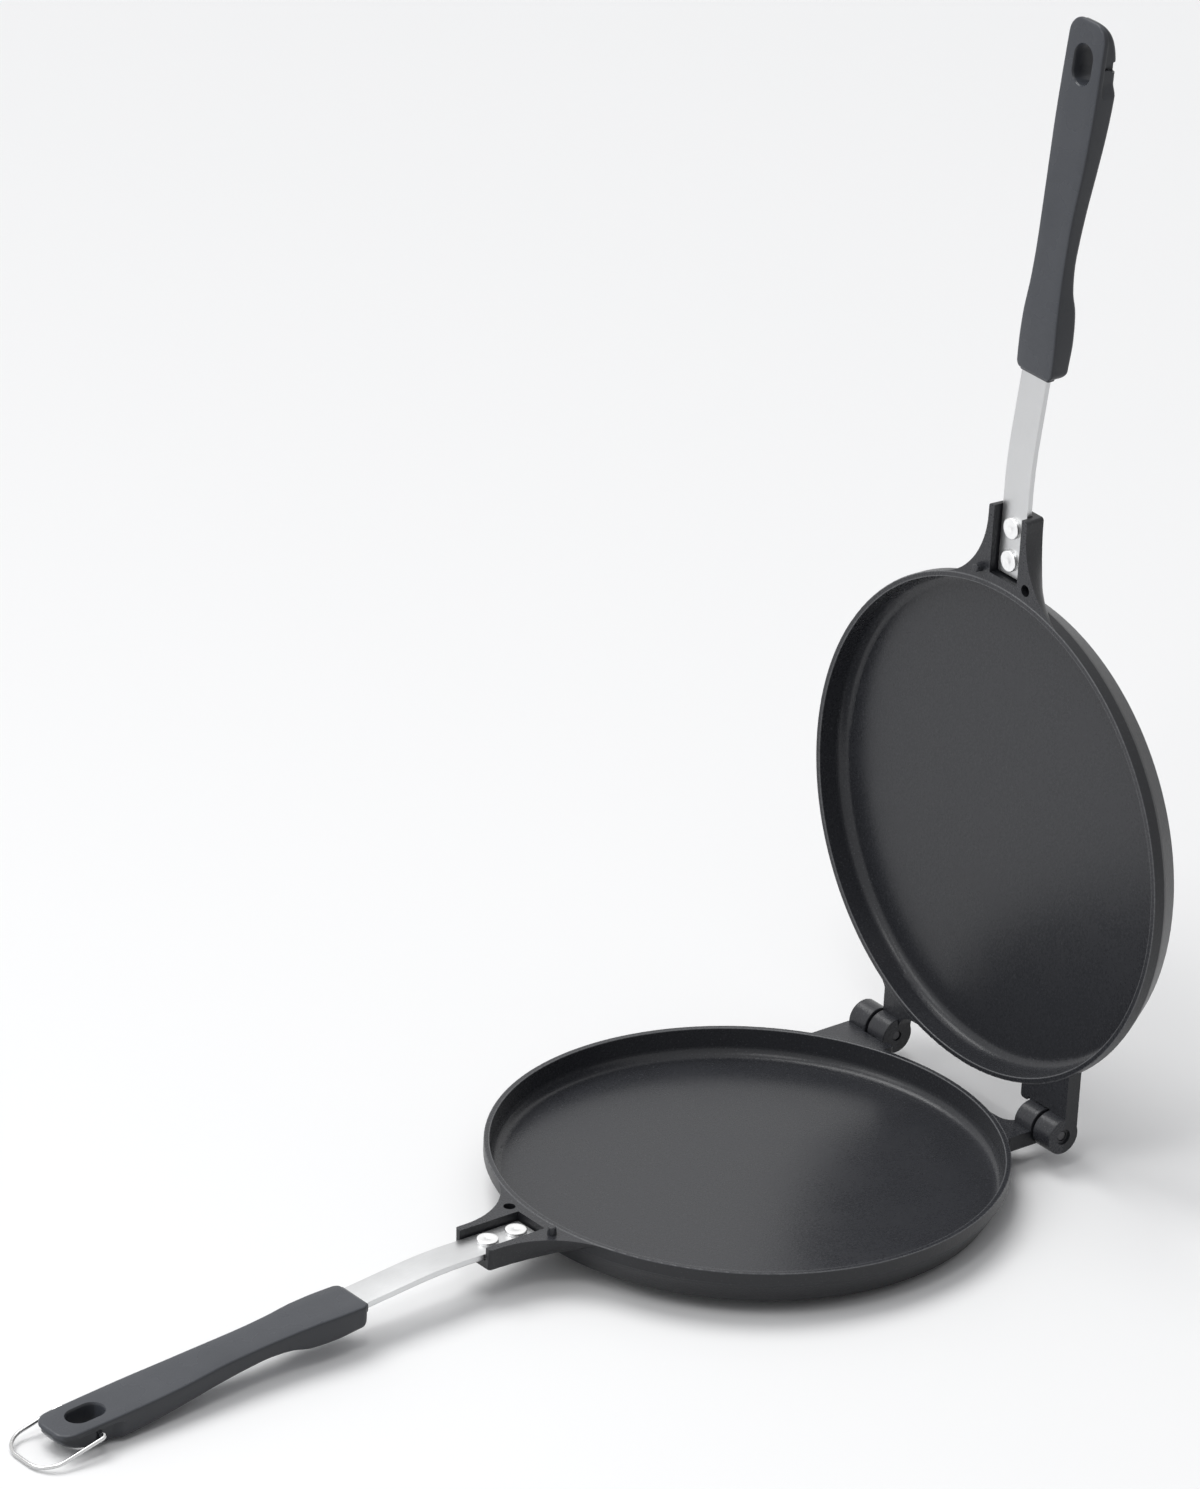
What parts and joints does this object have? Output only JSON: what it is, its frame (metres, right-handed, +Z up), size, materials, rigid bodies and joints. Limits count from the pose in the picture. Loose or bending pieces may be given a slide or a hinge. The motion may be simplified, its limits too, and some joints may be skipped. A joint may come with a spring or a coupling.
{
  "type": "stovetop sandwich maker",
  "caption": "Round double flip pan: two shallow dishes hinged at one side, each with a riveted steel tang and a moulded handle, and a swinging wire loop at one handle's tip.",
  "frame": {"origin": "centre of the lower pan's flat underside", "axes": "+Z up with the object standing open on a level table, leaning by about two degrees on its handle tip and the hinge side of its base; +X from the handle towards the hinge; +Y along the hinge line"},
  "size_m": [0.6225, 0.25, 0.5546],
  "materials": {
    "pan_coating": "charcoal non-stick coating, satin with fine grain",
    "tang_steel": "satin stainless strip",
    "rivet_metal": "bright polished",
    "handle_plastic": "fine-grained phenolic",
    "screw_steel": "zinc plated",
    "pin_steel": "dark coated steel",
    "bail_wire": "bright wire"
  },
  "bodies": {
    "lower_half": {"lower_pan": "pan_coating", "lower_tang": "tang_steel", "lower_rivets": "rivet_metal", "lower_handle": "handle_plastic", "lower_handle_screw": "screw_steel", "left_hinge_pin": "pin_steel", "right_hinge_pin": "pin_steel"},
    "upper_half": {"upper_pan": "pan_coating", "upper_tang": "tang_steel", "upper_rivets": "rivet_metal", "upper_handle": "handle_plastic", "upper_handle_screw": "screw_steel"},
    "bail": {"wire_bail": "bail_wire"}
  },
  "joints": [
    {"name": "pan_hinge", "type": "hinge", "parent": "lower_half", "child": "upper_half", "pos_m": [0.13261, 0, 0.0136], "axis": [0, 1, 0], "range_deg": [-91.1, 0]},
    {"name": "bail_pivot", "type": "hinge", "parent": "lower_half", "child": "bail", "pos_m": [-0.38606, 0, 0.00559], "axis": [0, 1, 0], "range_deg": [-148, 177]}
  ]
}
